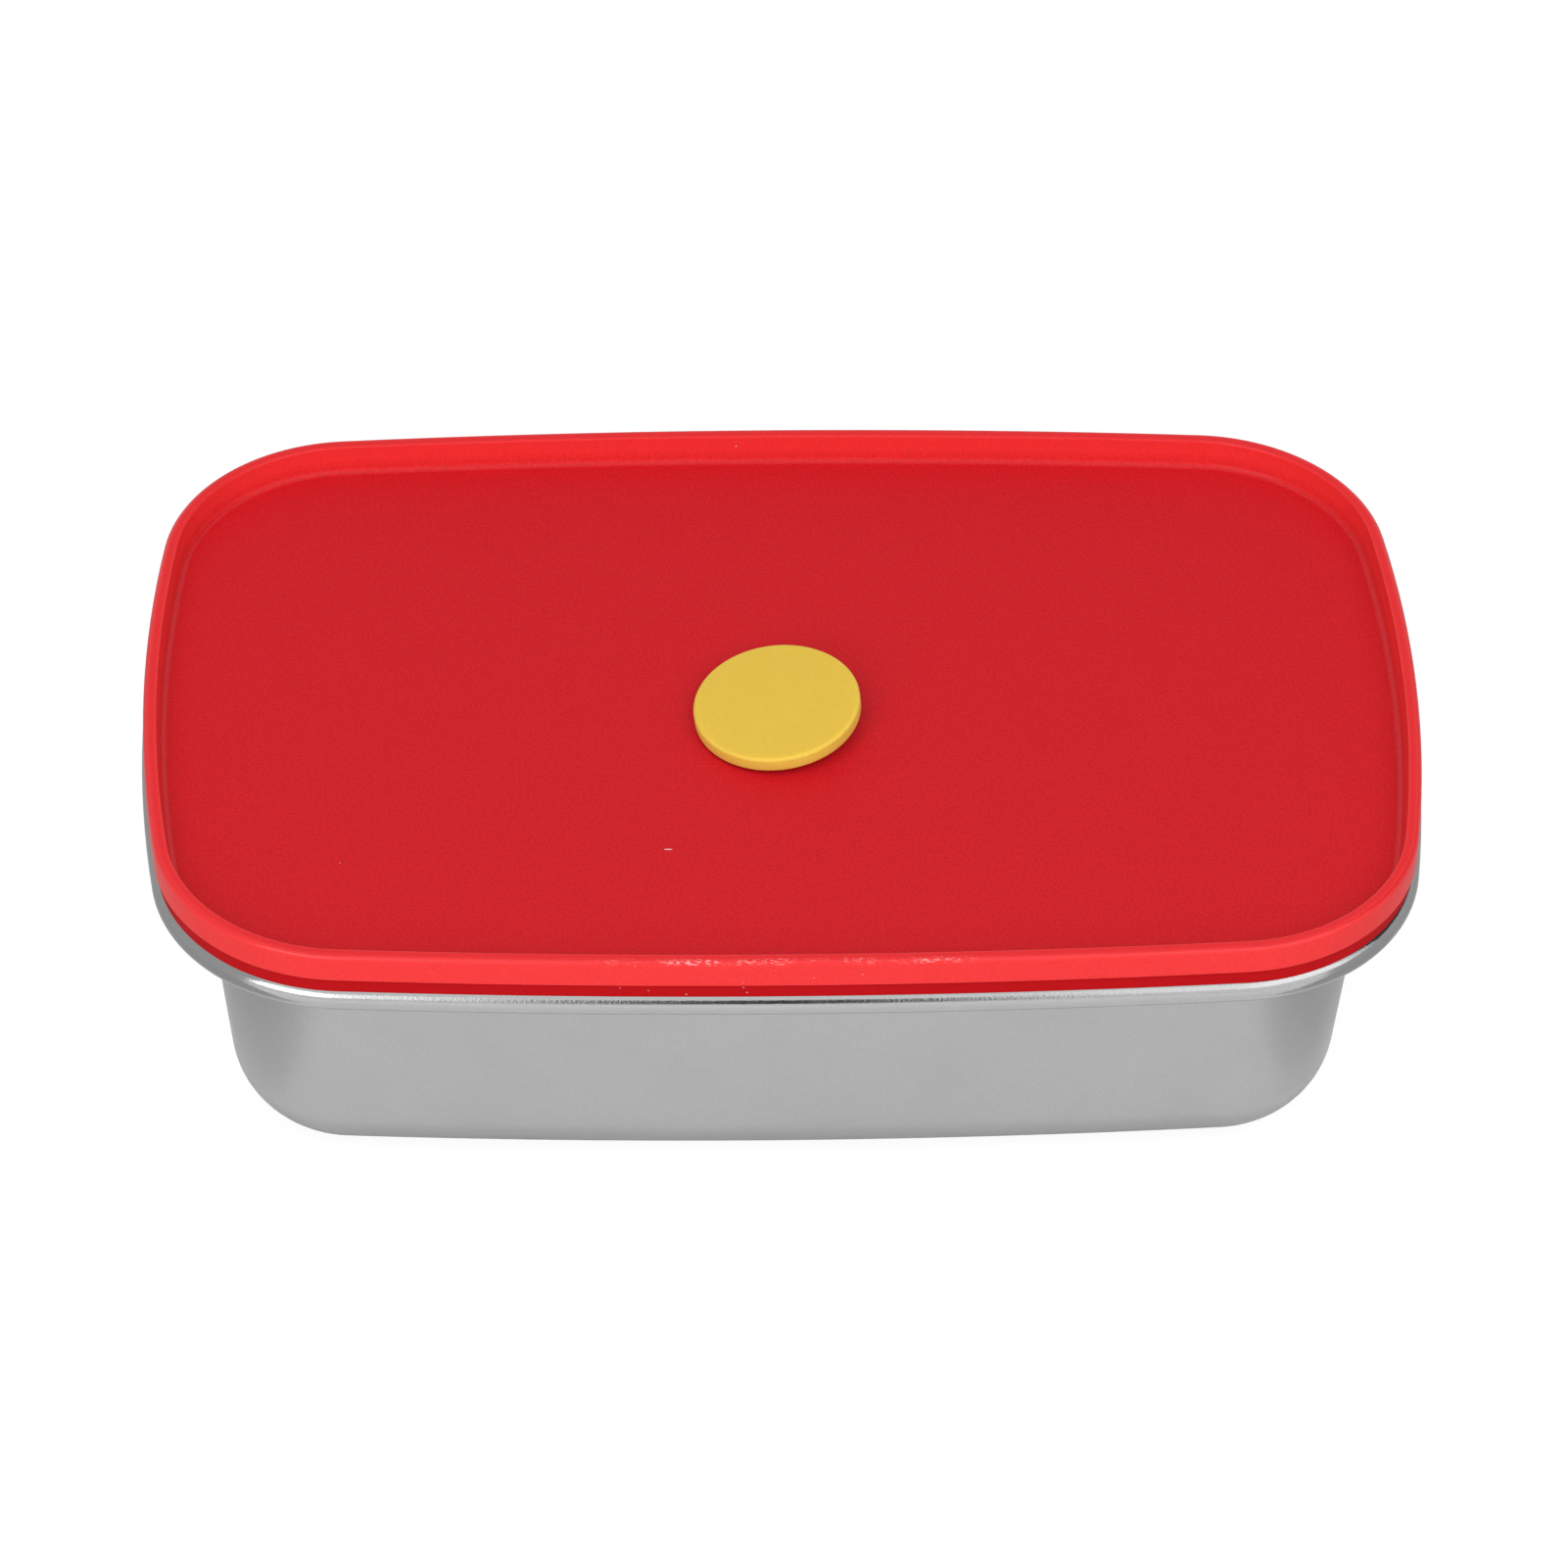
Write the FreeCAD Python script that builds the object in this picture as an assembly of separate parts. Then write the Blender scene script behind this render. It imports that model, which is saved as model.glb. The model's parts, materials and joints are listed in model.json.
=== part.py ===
"""Steel lunch box with a press-in lid, a sealing ring and a vent plug.

Millimetres. The origin is the middle of the base on the table, +X runs along the length,
+Y towards the back long side and +Z up. Every ring of the box is one section carried round
the same outline, a rectangle with bowed sides, so a section is written as (inset, height):
the inset is counted inwards from the outermost line of the steel rim.
"""
import FreeCAD, Part
import math
import os

# Outline of the steel rim
rim_length = 201.0
rim_width = 129.0
long_side_radius = 1180.0
short_side_radius = 266.0
floor_corner_radius = 3.8

# Drawn steel body
body_height = 49.5
sheet = 0.6
rim_radius = 2.15
rolled_edge_gap = 3.65
shoulder_radius = 2.4
wall_draft = 5.94
base_radius = 15.3

# Lid
lid_inset = 0.45
lip_width = 2.1
lip_height = 4.8
lip_edge_radius = 0.7
recess_depth = 4.9
recess_draft = 6.0
recess_radius = 1.2
panel = 1.8
foot_wall = 1.95
foot_height = 2.3
seat_gap = 0.1
neck_gap = 0.8

# Sealing ring and its groove in the lid's neck
groove_below_seat = 2.9
groove_height = 3.4
groove_depth = 1.2
groove_above_neck_end = 1.7
wall_behind_groove = 1.4
seal_gap = 0.25

# Vent hole and plug
vent_forward = 2.8
stem_diameter = 5.2
stem_clearance = 0.6
cap_diameter = 26.3
cap_thickness = 2.7
cap_edge_radius = 0.6
plug_aside = 0.25
plug_lean = 6.9
lean_turn = 21.6
plug_hover = 0.2
plug_travel = 3.0
barb_overlap = 1.0
barb_length = 4.0
barb_tip_diameter = 3.6
barb_stop_gap = 0.3

# Rounded bends of a section are drawn as flat facets, about this close to the true arc
facet_error = 0.1

# Heights and insets that follow from the sizes above
draft_slope = math.tan(math.radians(wall_draft))
sheet_run = sheet / math.cos(math.radians(wall_draft))
flange_width = 2.0 * rim_radius + rolled_edge_gap
flange_under = body_height - sheet
wall_foot_inset = flange_width + draft_slope * flange_under
base_tangent = base_radius * math.tan(math.radians(90.0 - wall_draft) / 2.0)
floor_inset = wall_foot_inset + base_tangent
corner_radius = floor_inset + floor_corner_radius
seat_height = body_height + seat_gap
lip_low = seat_height + foot_height
lid_top = lip_low + lip_height
panel_top = lid_top - recess_depth
panel_under = panel_top - panel
groove_high = seat_height - groove_below_seat
groove_low = groove_high - groove_height
neck_end = groove_low - groove_above_neck_end
vent_diameter = stem_diameter + 2.0 * stem_clearance

Z_AXIS = FreeCAD.Vector(0, 0, 1)
Y_AXIS = FreeCAD.Vector(0, 1, 0)
NEGLIGIBLE = 1e-6


def outline_arcs():
    """The rim's outline as tangent arcs: (centre x, centre y, radius, start angle, end angle)."""
    long_y = rim_width / 2.0 - long_side_radius
    short_x = rim_length / 2.0 - short_side_radius
    reach_long = long_side_radius - corner_radius
    reach_short = short_side_radius - corner_radius
    apart = math.hypot(short_x, long_y)
    along = (reach_long ** 2 - reach_short ** 2 + apart ** 2) / (2.0 * apart)
    aside = math.sqrt(reach_long ** 2 - along ** 2)
    unit_x = short_x / apart
    unit_y = -long_y / apart
    corner_x = unit_x * along + abs(unit_y) * aside
    corner_y = long_y + unit_y * along - unit_x * aside
    long_end = math.atan2(corner_y - long_y, corner_x)
    short_end = math.atan2(corner_y, corner_x - short_x)
    half_turn = math.pi
    return [
        (short_x, 0.0, short_side_radius, -short_end, short_end),
        (corner_x, corner_y, corner_radius, short_end, long_end),
        (0.0, long_y, long_side_radius, long_end, half_turn - long_end),
        (-corner_x, corner_y, corner_radius, half_turn - long_end, half_turn - short_end),
        (-short_x, 0.0, short_side_radius, half_turn - short_end, half_turn + short_end),
        (-corner_x, -corner_y, corner_radius, half_turn + short_end, half_turn + long_end),
        (0.0, -long_y, long_side_radius, half_turn + long_end, 2 * half_turn - long_end),
        (corner_x, -corner_y, corner_radius, -long_end, -short_end),
    ]


def on_arc(arc, angle, inset, height):
    """Point at an angle of one outline arc, moved inwards by the inset."""
    x, y, radius, _, _ = arc
    reach = radius - inset
    return FreeCAD.Vector(x + reach * math.cos(angle), y + reach * math.sin(angle), height)


def bend(corner, before, after, radius):
    """Points of the tangent bend at a corner, between the directions of its two sides."""
    if radius <= NEGLIGIBLE:
        return [corner]
    half_angle = before.getAngle(after) / 2.0
    centre = corner + (before + after).normalize() * (radius / math.sin(half_angle))
    start = corner + before * (radius / math.tan(half_angle)) - centre
    turn = math.pi - 2.0 * half_angle
    facet_turn = 2.0 * math.acos(1.0 - facet_error / max(radius, facet_error))
    count = max(1, round(turn / facet_turn))
    step = math.copysign(turn / count, before.cross(after).z)
    points = []
    for index in range(count + 1):
        cosine = math.cos(index * step)
        sine = math.sin(index * step)
        spoke = FreeCAD.Vector(start.x * cosine + start.y * sine, start.y * cosine - start.x * sine, 0)
        points.append(centre + spoke)
    return points


def rounded_face(corners, place):
    """Flat face inside (first, second, radius) corners; place() puts a section point in space."""
    points = []
    spots = [FreeCAD.Vector(first, second, 0) for first, second, _ in corners]
    for index, (_, _, radius) in enumerate(corners):
        here = spots[index]
        before = (spots[index - 1] - here).normalize()
        after = (spots[(index + 1) % len(spots)] - here).normalize()
        points.extend(bend(here, before, after, radius))
    kept = []
    for point in points:
        if not kept or point.distanceToPoint(kept[-1]) > NEGLIGIBLE:
            kept.append(point)
    placed = [place(point.x, point.y) for point in kept]
    return Part.Face(Part.makePolygon(placed + placed[:1]))


def sheet_section(path):
    """Section of a bent sheet: the path is one face, the other lies one sheet to its right."""
    points = [FreeCAD.Vector(inset, height, 0) for inset, height, _ in path]
    headings = []
    for start, end in zip(points, points[1:]):
        headings.append((end - start).normalize())
    far_side = []
    last = len(path) - 1
    for index, (inset, height, radius) in enumerate(path):
        arriving = headings[max(index - 1, 0)]
        leaving = headings[min(index, last - 1)]
        right = FreeCAD.Vector(arriving.y + leaving.y, -arriving.x - leaving.x, 0).normalize()
        reach = sheet / right.dot(FreeCAD.Vector(arriving.y, -arriving.x, 0))
        turns_left = arriving.cross(leaving).z > 0
        if radius > NEGLIGIBLE:
            radius += sheet if turns_left else -sheet
        far_side.append((inset + right.x * reach, height + right.y * reach, radius))
    return list(path) + far_side[::-1]


def ring(section):
    """Carry a section round the outline: one revolved piece for each arc."""
    pieces = []
    for arc in outline_arcs():
        x, y, _, start, end = arc
        face = rounded_face(section, lambda inset, height: on_arc(arc, start, inset, height))
        pieces.append(face.revolve(FreeCAD.Vector(x, y, 0), Z_AXIS, math.degrees(end - start)))
    return pieces


def plate(inset, low, thickness):
    """Flat plate that fills the outline inside an inset."""
    edges = []
    for arc in outline_arcs():
        start, end = arc[3:]
        stops = [on_arc(arc, angle, inset, low) for angle in (start, (start + end) / 2.0, end)]
        edges.append(Part.Arc(*stops).toShape())
    return Part.Face(Part.Wire(edges)).extrude(Z_AXIS * thickness)


def joined(pieces):
    """Fuse pieces that meet face to face into one solid."""
    return pieces[0].multiFuse(pieces[1:]).removeSplitter().Solids[0]


def wall_inside(height):
    """Inset of the steel wall's food side at a height."""
    return flange_width + draft_slope * (flange_under - height) + sheet_run


def neck_face(height):
    """Inset of the outer face of the lid's neck, which runs along the steel wall."""
    return wall_inside(height) + neck_gap


def groove_back(height):
    """Inset of the back of the seal's groove in the neck."""
    return neck_face(height) + groove_depth


def container_body():
    """Drawn body: flat floor, drafted wall, flange and an edge rolled under into a bead."""
    curl_radius = rim_radius - sheet
    bead_low = body_height - 2.0 * rim_radius + sheet
    rolled_end = 2.0 * rim_radius - sheet
    path = [
        (floor_inset, 0.0, 0.0),
        (wall_foot_inset, 0.0, base_radius),
        (flange_width, flange_under, shoulder_radius),
        (sheet, flange_under, curl_radius),
        (sheet, bead_low, curl_radius),
        (rolled_end, bead_low, 0.0),
    ]
    return joined(ring(sheet_section(path)) + [plate(floor_inset, 0.0, sheet)])


def lid():
    """Lid: raised lip, sunk panel, foot that sits on the flange, and a neck in the mouth."""
    lip_inside = lid_inset + lip_width
    lip_edge = min(lip_edge_radius, lip_width / 2.0)
    recess_foot = lip_inside + recess_depth * math.tan(math.radians(recess_draft))
    foot_face = recess_foot - foot_wall
    neck_back = groove_back(neck_end) + wall_behind_groove
    section = [
        (lid_inset, lid_top, lip_edge),
        (lip_inside, lid_top, lip_edge),
        (recess_foot, panel_top, recess_radius),
        (neck_back, panel_top, 0.0),
        (neck_back, neck_end, 0.0),
        (neck_face(neck_end), neck_end, 0.0),
        (neck_face(groove_low), groove_low, 0.0),
        (groove_back(groove_low), groove_low, 0.0),
        (groove_back(groove_high), groove_high, 0.0),
        (neck_face(groove_high), groove_high, 0.0),
        (neck_face(seat_height), seat_height, 0.0),
        (foot_face, seat_height, 0.0),
        (foot_face, lip_low, 0.0),
        (lid_inset, lip_low, 0.0),
    ]
    whole = joined(ring(section) + [plate(neck_back, panel_under, panel)])
    vent = Part.makeCylinder(vent_diameter / 2.0, panel, FreeCAD.Vector(0, -vent_forward, panel_under))
    return whole.cut(vent).Solids[0]


def seal_ring():
    """Soft ring that fills the neck's groove and reaches almost to the steel wall."""
    section = [
        (groove_back(groove_low), groove_low, 0.0),
        (groove_back(groove_high), groove_high, 0.0),
        (wall_inside(groove_high) + seal_gap, groove_high, 0.0),
        (wall_inside(groove_low) + seal_gap, groove_low, 0.0),
    ]
    return joined(ring(section))


def vent_plug():
    """Soft plug: a thick round cap, a stem through the vent hole and a barb below the panel.

    It is drawn upright about the middle of the hole, then leans as it is left on the table:
    pulled up a little, with the low edge of its cap just above the panel. The lean points to
    the left and a little to the front, and the stem stands aside in its hole.
    """
    lean = math.radians(plug_lean)
    cap_radius = cap_diameter / 2.0
    cap_edge = min(cap_edge_radius, cap_thickness / 2.0)
    stem_radius = stem_diameter / 2.0
    barb_radius = vent_diameter / 2.0 + barb_overlap
    edge_dip = (cap_radius - cap_edge) * math.sin(lean)
    barb_rise = barb_radius * math.sin(lean)
    cap_under = (panel / 2.0 + plug_hover + cap_edge + edge_dip) / math.cos(lean) - cap_edge
    cap_top = cap_under + cap_thickness
    barb_top = -(panel / 2.0 + barb_stop_gap + barb_rise) / math.cos(lean) - plug_travel
    barb_end = barb_top - barb_length
    profile = [
        (0.0, cap_top, 0.0),
        (cap_radius, cap_top, cap_edge),
        (cap_radius, cap_under, cap_edge),
        (stem_radius, cap_under, 0.0),
        (stem_radius, barb_top, 0.0),
        (barb_radius, barb_top, 0.0),
        (barb_tip_diameter / 2.0, barb_end, 0.0),
        (0.0, barb_end, 0.0),
    ]
    face = rounded_face(profile, lambda radius, height: FreeCAD.Vector(radius, 0, height))
    plug = face.revolve(FreeCAD.Vector(0, 0, 0), Z_AXIS, 360)
    plug.rotate(FreeCAD.Vector(0, 0, 0), Y_AXIS, -plug_lean)
    plug.rotate(FreeCAD.Vector(0, 0, 0), Z_AXIS, lean_turn)
    plug.translate(FreeCAD.Vector(-plug_aside, -vent_forward, (panel_under + panel_top) / 2.0))
    return plug


os.makedirs("parts", exist_ok=True)
for make in (container_body, lid, seal_ring, vent_plug):
    shape = make()
    shape.exportStep("parts/" + make.__name__ + ".step")
    box = shape.BoundBox
    print(make.__name__, shape.ShapeType, shape.isValid(), round(shape.Volume, 1), len(shape.Faces),
          [round(v, 2) for v in (box.XMin, box.XMax, box.YMin, box.YMax, box.ZMin, box.ZMax)])
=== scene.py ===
"""Finished look of a steel lunch box with a red press-in lid and a yellow vent plug.

Metres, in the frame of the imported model: the origin is the middle of the base on the table, +X
runs along the length, +Y towards the back and +Z up. Rings are sections of (inset, height)
points carried round one outline; an inset is counted inwards from the steel rim's edge.
"""
import json
import math

import bmesh
import bpy
from bpy.props import FloatProperty, FloatVectorProperty, IntProperty, PointerProperty
from mathutils import Matrix, Vector


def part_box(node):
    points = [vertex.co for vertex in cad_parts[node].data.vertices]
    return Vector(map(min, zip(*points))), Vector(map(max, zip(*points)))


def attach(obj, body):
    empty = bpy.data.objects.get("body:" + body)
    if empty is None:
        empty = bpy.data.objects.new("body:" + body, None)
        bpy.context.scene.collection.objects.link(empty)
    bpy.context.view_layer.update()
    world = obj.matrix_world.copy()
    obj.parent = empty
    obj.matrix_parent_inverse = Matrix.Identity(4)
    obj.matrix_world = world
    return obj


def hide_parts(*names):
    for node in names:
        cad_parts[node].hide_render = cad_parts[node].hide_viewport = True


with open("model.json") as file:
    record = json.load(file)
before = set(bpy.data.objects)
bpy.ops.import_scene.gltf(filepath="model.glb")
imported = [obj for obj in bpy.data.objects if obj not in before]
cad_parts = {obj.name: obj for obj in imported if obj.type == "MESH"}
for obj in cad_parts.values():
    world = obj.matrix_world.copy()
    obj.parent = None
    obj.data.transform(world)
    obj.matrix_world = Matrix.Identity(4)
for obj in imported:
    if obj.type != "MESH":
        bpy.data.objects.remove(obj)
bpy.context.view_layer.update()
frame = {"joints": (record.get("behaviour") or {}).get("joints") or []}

bl_info = {
    "name": "Steel lunch box",
    "version": (1, 0, 0),
    "blender": (4, 5, 0),
    "location": "View3D > Sidebar > Lunch box",
    "description": "Builds a steel lunch box with its lid, seal, vent plug and photo stage",
    "category": "Object",
}

MM = 0.001
BEND_STEP = math.radians(6.0)
SHARP_ANGLE = math.radians(50.0)

# Places of the cards beside the box, in metres, and the distances over which a card's level changes
CARD_START = 0.09
CARD_WALL = 0.5
CARD_FRONT = -0.35
CARD_BACK = 0.6
CARD_HIGH = 0.8
DARK_CARD_FRONT = -0.05
CARD_NEAR_LEVEL = 0.9
CARD_FADE = (0.075, 0.115)
GLOW_FADE = (0.12, 0.4)
FLOOR_GLOW_STRENGTH = 1.12

body_low, body_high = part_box("container_body")
lid_low, lid_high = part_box("lid")
seal_low, seal_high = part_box("seal_ring")
joint_axes = {joint["name"]: Vector(joint["axis"]) for joint in frame["joints"]}
plug_axis = joint_axes["vent_plug_lift"]


def length(name, default, description):
    """A length property, in metres."""
    return FloatProperty(name=name, default=default, description=description, unit="LENGTH", precision=5)


def angle(name, default, description):
    """An angle property, written in degrees."""
    return FloatProperty(name=name, default=math.radians(default), description=description, subtype="ANGLE")


def factor(name, default, description):
    """A plain number, such as a share or a strength."""
    return FloatProperty(name=name, default=default, description=description)


def whole(name, default, description):
    """A whole number, such as a count of steps."""
    return IntProperty(name=name, default=default, description=description)


def colour(name, default, description):
    """A linear colour."""
    return FloatVectorProperty(name=name, default=default, description=description, subtype="COLOR", size=3)


class OutlineSizes(bpy.types.PropertyGroup):
    """Outline of the steel rim: a rectangle with bowed sides and round corners."""
    rim_length: length("Rim length", body_high.x - body_low.x, "Length over the steel rim")
    rim_width: length("Rim width", body_high.y - body_low.y, "Width over the steel rim")
    long_side_radius: length("Long side radius", 1180.0 * MM, "Bow of the long sides")
    short_side_radius: length("Short side radius", 266.0 * MM, "Bow of the short sides")
    corner_radius: length("Corner radius", 30.63 * MM, "Round of the rim's corners")
    short_columns: whole("Short side columns", 8, "Columns on half a short side")
    corner_columns: whole("Corner columns", 26, "Columns round one corner")
    long_columns: whole("Long side columns", 12, "Columns on half a long side")


class BodySizes(bpy.types.PropertyGroup):
    """Drawn steel body with a rolled rim."""
    height: length("Height", body_high.z, "Height of the steel rim above the table")
    sheet: length("Sheet", 0.6 * MM, "Thickness of the steel")
    rim_radius: length("Rim radius", 2.15 * MM, "Outer radius of the rolled rim")
    flange_width: length("Flange width", 7.95 * MM, "From the rim's edge to the wall below the flange")
    shoulder_radius: length("Shoulder radius", 2.4 * MM, "Bend between flange and wall")
    wall_draft: angle("Wall draft", 5.94, "Slope of the wall")
    base_radius: length("Base radius", 15.3 * MM, "Bend between wall and floor")
    floor_margin: length("Floor margin", 2.0 * MM, "Flat strip between the base bend and the floor's face")


class LidSizes(bpy.types.PropertyGroup):
    """Lid with a raised lip, a sunk panel, a foot on the flange and a neck in the mouth."""
    top: length("Top", lid_high.z, "Height of the lip's top")
    neck_end: length("Neck end", lid_low.z, "Height of the neck's lower end")
    inset: length("Inset", 0.45 * MM, "From the rim's edge to the lip's outer face")
    lip_width: length("Lip width", 2.1 * MM, "Thickness of the lip")
    lip_height: length("Lip height", 4.8 * MM, "Height of the lip's outer face")
    lip_edge: length("Lip edge", 0.8 * MM, "Round of the lip's outer top edge")
    inner_edge: length("Inner edge", 0.4 * MM, "Round of the lip's inner top edge")
    lip_fall: length("Lip fall", 0.06 * MM, "Fall of the lip's top towards the panel")
    low_edge: length("Low edge", 0.12 * MM, "Round of the lip's lower edge and of the foot")
    recess_depth: length("Recess depth", 4.9 * MM, "From the lip's top down to the panel")
    recess_draft: angle("Recess draft", 6.0, "Slope of the lip's inner face")
    recess_radius: length("Recess radius", 1.05 * MM, "Fillet between lip and panel")
    panel: length("Panel", 1.8 * MM, "Thickness of the panel")
    foot_wall: length("Foot wall", 2.05 * MM, "Wall between the foot and the recess")
    seat_gap: length("Seat gap", 0.04 * MM, "From the steel rim to the foot that sits on it")
    neck_gap: length("Neck gap", 0.8 * MM, "From the steel wall to the neck")
    groove_depth: length("Groove depth", 1.2 * MM, "Depth of the seal's groove in the neck")
    groove_wall: length("Groove wall", 1.4 * MM, "Wall behind the groove")
    neck_edge: length("Neck edge", 0.7 * MM, "Round of the neck's lower end")
    vent_radius: length("Vent radius", 3.2 * MM, "Radius of the vent hole")
    vent_forward: length("Vent forward", 2.8 * MM, "From the lid's middle forward to the vent hole")


class SealSizes(bpy.types.PropertyGroup):
    """Soft ring in the groove of the lid's neck."""
    low: length("Low", seal_low.z, "Height of the ring's lower face")
    high: length("High", seal_high.z, "Height of the ring's upper face")
    gap: length("Gap", 0.25 * MM, "From the ring's ribs to the steel wall")
    edge: length("Edge", 0.25 * MM, "Round of the ring's ribs")
    waist: length("Waist", 0.4 * MM, "Depth of the hollow between the two ribs")


class PlugSizes(bpy.types.PropertyGroup):
    """Vent plug: cap, stem and barb."""
    lean: FloatProperty(
        name="Lean", default=math.acos(plug_axis.z), subtype="ANGLE",
        description="Lean of the plug from upright",
    )
    lean_turn: FloatProperty(
        name="Lean turn", default=math.atan2(-plug_axis.y, -plug_axis.x), subtype="ANGLE",
        description="Turn of the lean from the left towards the front",
    )
    aside: length("Aside", 0.25 * MM, "From the vent hole's middle to the plug's, towards the left")
    cap_radius: length("Cap radius", 13.15 * MM, "Radius of the cap")
    cap_thickness: length("Cap thickness", 2.7 * MM, "Thickness of the cap")
    cap_edge: length("Cap edge", 0.6 * MM, "Round of the cap's edges")
    hover: length("Hover", 0.2 * MM, "From the panel to the cap's low edge")
    stem_radius: length("Stem radius", 2.6 * MM, "Radius of the stem")
    barb_radius: length("Barb radius", 4.2 * MM, "Radius of the barb")
    barb_drop: length("Barb drop", 3.3 * MM, "From the panel's underside to the barb")
    barb_length: length("Barb length", 4.0 * MM, "Length of the barb")
    barb_tip: length("Barb tip", 1.8 * MM, "Radius of the barb's tip")
    steps: whole("Steps", 128, "Steps round the plug")


class FinishColours(bpy.types.PropertyGroup):
    """Colours of the finishes."""
    panel_red: colour("Panel red", (0.620, 0.0095, 0.0158), "Thick plastic of the panel")
    # Painted light: the thin lip is painted lighter than the panel, for light that falls on it and passes
    # into the thin plastic
    lip_lit_red: colour("Lip red", (0.82, 0.033, 0.034), "Thin plastic of the lip, which light passes into")
    # Painted light and shade: the lip's flat top is painted lighter than the panel and darker than the lip's
    # front, for how light falls on it
    lip_top_painted_red: colour("Lip top red", (0.75, 0.018, 0.022), "Flat top of the lip")
    foot_red: colour("Foot red", (0.44, 0.0005, 0.003), "Foot below the lip, darkened for the lip's shade")
    scuff_pale: colour("Scuff", (0.95, 0.55, 0.55), "Rubbed edges of the lid")
    dust_pale: colour("Dust", (0.85, 0.80, 0.78), "Lint and dust")
    steel_grey: colour("Steel", (0.512, 0.512, 0.512), "Satin steel")
    plug_yellow: colour("Plug yellow", (0.735, 0.50, 0.056), "Soft plug")
    # Painted light: the cap's rim and side are painted paler, for the light on them and glowing through the
    # soft silicone
    plug_lit_edge: colour("Plug edge", (0.78, 0.63, 0.105), "Paler edge of the plug's cap")
    seal_white: colour("Seal white", (0.78, 0.77, 0.74), "Soft sealing ring")


class StageSettings(bpy.types.PropertyGroup):
    """Camera, floor and lights."""
    azimuth: angle("Azimuth", -2.227, "Camera's turn round the box")
    elevation: angle("Elevation", 41.509, "Camera's height above the horizon")
    roll: angle("Roll", 0.992, "Camera's roll")
    distance: length("Distance", 1.37265, "From the camera to the point that it looks at")
    focal_mm: factor("Focal length", 203.22, "Camera lens in millimetres on a sensor of 36 mm")
    target: FloatVectorProperty(
        name="Target", default=(-0.207 * MM, -23.199 * MM, 56.7 * MM), subtype="TRANSLATION",
        description="Point in the middle of the picture",
    )
    floor_radius: length("Floor radius", 4.0, "Radius of the floor")
    floor_drop: length("Floor drop", 0.2 * MM, "From the base down to the floor")
    floor_white: factor("Floor white", 0.85, "Reflectance of the floor")
    floor_glow: factor("Floor glow", 0.8, "Share of plain white in what the camera sees of the floor")
    floor_mirrored: factor("Floor mirrored", 0.0, "Share of plain white in what the steel shows of the floor")
    sky: factor("Sky", 0.48, "Level of the light from all round")
    lamp_distance: length("Lamp distance", 1.3, "From the lamps to the box")
    top_level: factor("Top lamp", 1.8, "Brightness of the lamp above the camera")
    left_level: factor("Left lamp", 3.2, "Brightness of the lamp on the left")
    right_level: factor("Right lamp", 2.0, "Brightness of the lamp on the right")
    left_glow: factor("Left glow", 3.4, "Brightness of the left lamp as the steel shows it")
    right_glow: factor("Right glow", 1.65, "Brightness of the right lamp as the steel shows it")
    floor_card: factor("Floor cards", 0.50, "Brightness of the grey cards on the floor beside the box")
    side_card: factor("Side cards", 0.54, "Brightness of the grey cards that stand beside the box")
    dark_card: factor("Dark card", 0.05, "Brightness of the dark card above the grey one on the right")


class LunchBoxSettings(bpy.types.PropertyGroup):
    """All sizes, colours and stage settings of the lunch box."""
    outline: PointerProperty(type=OutlineSizes, name="Outline", description="Outline of the rim")
    body: PointerProperty(type=BodySizes, name="Body", description="Steel body")
    lid: PointerProperty(type=LidSizes, name="Lid", description="Lid")
    seal: PointerProperty(type=SealSizes, name="Seal", description="Sealing ring")
    plug: PointerProperty(type=PlugSizes, name="Plug", description="Vent plug")
    finish: PointerProperty(type=FinishColours, name="Finish", description="Colours")
    stage: PointerProperty(type=StageSettings, name="Stage", description="Camera, floor and lights")


class Nodes:
    """Adds nodes to one tree and wires them, so that a tree reads as a list of steps."""

    def __init__(self, tree):
        self.tree = tree

    def add(self, kind, inputs=None, **settings):
        """A new node with its settings and inputs; an input is a value or another node's socket."""
        node = self.tree.nodes.new(kind)
        for key, value in settings.items():
            setattr(node, key, value)
        for key, value in (inputs or {}).items():
            if isinstance(value, bpy.types.NodeSocket):
                self.tree.links.new(value, node.inputs[key])
            else:
                node.inputs[key].default_value = value
        return node

    def math(self, operation, first, second=0.0):
        """One step of arithmetic."""
        return self.add("ShaderNodeMath", {0: first, 1: second}, operation=operation).outputs[0]

    def ramp(self, value, low, high, to_low=0.0, to_high=1.0):
        """The value's place between low and high, clamped, as a number from to_low to to_high."""
        inputs = {"Value": value, "From Min": low, "From Max": high, "To Min": to_low, "To Max": to_high}
        return self.add("ShaderNodeMapRange", inputs).outputs["Result"]

    def mix(self, share, first, second):
        """Two colours mixed."""
        node = self.add("ShaderNodeMix", data_type="RGBA")
        colours = [socket for socket in node.inputs if socket.type == "RGBA"]
        for socket, value in ((node.inputs["Factor"], share), (colours[0], first), (colours[1], second)):
            if isinstance(value, bpy.types.NodeSocket):
                self.tree.links.new(value, socket)
            else:
                socket.default_value = value
        return next(socket for socket in node.outputs if socket.type == "RGBA")


def rgba(colour_value):
    """A colour property as four numbers."""
    return (*colour_value, 1.0)


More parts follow.
